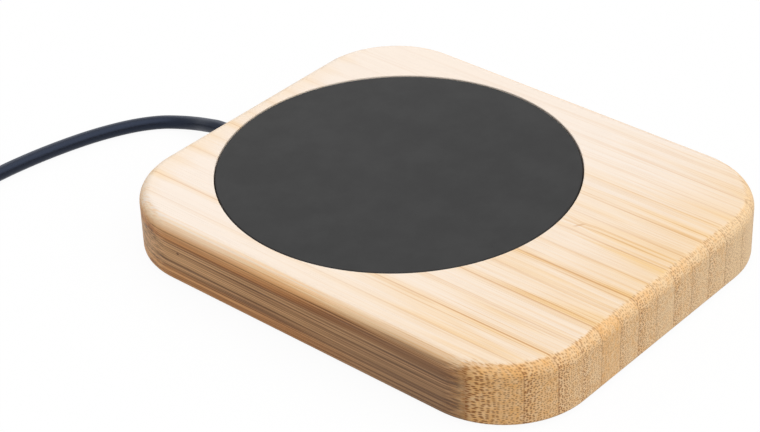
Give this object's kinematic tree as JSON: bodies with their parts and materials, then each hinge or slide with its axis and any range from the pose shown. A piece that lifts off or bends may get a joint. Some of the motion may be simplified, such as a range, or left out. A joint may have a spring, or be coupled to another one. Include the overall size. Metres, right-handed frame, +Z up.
{
  "type": "electric mug warmer",
  "caption": "Flat bamboo mug warmer with rounded corners, a round grey heating plate let into its top that sinks under a mug, and a thin USB lead from the back.",
  "frame": {"origin": "on the table under the middle of the bamboo slab", "axes": "+Z up, +Y along the slab's length towards the lead, +X to the right with the lead at the back"},
  "size_m": [0.1475, 0.2417, 0.016],
  "materials": {
    "bamboo": "light varnished bamboo strips with brown fibre ends",
    "plate_coating": "matte dark grey heat-proof coating on aluminium",
    "heater_film": "amber polyimide film",
    "heater_track": "etched resistance foil",
    "insulation": "pale ceramic-fibre felt",
    "carrier_plastic": "heat-proof moulding, fine matt texture",
    "cover_plastic": "black moulding, fine matt texture",
    "spring_steel": "drawn steel wire",
    "screw_steel": "zinc-plated steel",
    "board": "green solder mask",
    "component_black": "moulded epoxy",
    "component_ceramic": "fired ceramic",
    "switch_plunger": "white acetal",
    "sensor_case": "plain metal case",
    "wire_sleeve": "silicone sleeve",
    "rubber_feet": "matt rubber",
    "lead_jacket": "satin black soft PVC",
    "tie": "matt soft strap",
    "plug_moulding": "satin black PVC moulding",
    "plug_shell": "nickel-plated steel",
    "plug_tongue": "white nylon",
    "contacts": "gold-plated contacts"
  },
  "bodies": {
    "base": {"bamboo_slab": "bamboo", "carrier_springs": "spring_steel", "control_board": "board", "board_screws": "screw_steel", "switch_body": "component_black", "controller_chip": "component_black", "power_transistor": "component_black", "capacitors": "component_ceramic", "resistors": "component_black", "heater_leads": "wire_sleeve", "sensor_leads": "wire_sleeve", "power_leads": "wire_sleeve", "base_cover": "cover_plastic", "cover_screws": "screw_steel", "feet": "rubber_feet", "cord_gland": "lead_jacket", "cord_entry": "lead_jacket", "cord_clamp": "cover_plastic", "clamp_screws": "screw_steel", "cord_lead": "lead_jacket", "cord_tail": "lead_jacket", "cord_coil": "lead_jacket", "cord_tie": "tie", "plug_grip": "plug_moulding", "plug_shell": "plug_shell", "plug_tongue": "plug_tongue", "plug_contacts": "contacts"},
    "plate": {"heating_plate": "plate_coating", "heater_film": "heater_film", "heater_track": "heater_track", "insulation_pad": "insulation", "plate_carrier": "carrier_plastic", "temperature_sensor": "component_ceramic", "thermal_cutoff": "sensor_case"},
    "plunger": {"switch_plunger": "switch_plunger"}
  },
  "joints": [
    {"name": "plate_press", "type": "slide", "parent": "base", "child": "plate", "axis": [0, 0, -1], "range_m": [0, 0.0008], "stiffness_N_per_m": 1500, "springref_m": -0.001, "deforming": ["carrier_springs", "heater_leads", "sensor_leads"]},
    {"name": "switch_press", "type": "slide", "parent": "base", "child": "plunger", "axis": [0, 0, -1], "range_m": [0, 0.0008]}
  ],
  "couplings": [
    {"joint": "switch_press", "follows": "plate_press", "ratio": 1}
  ]
}
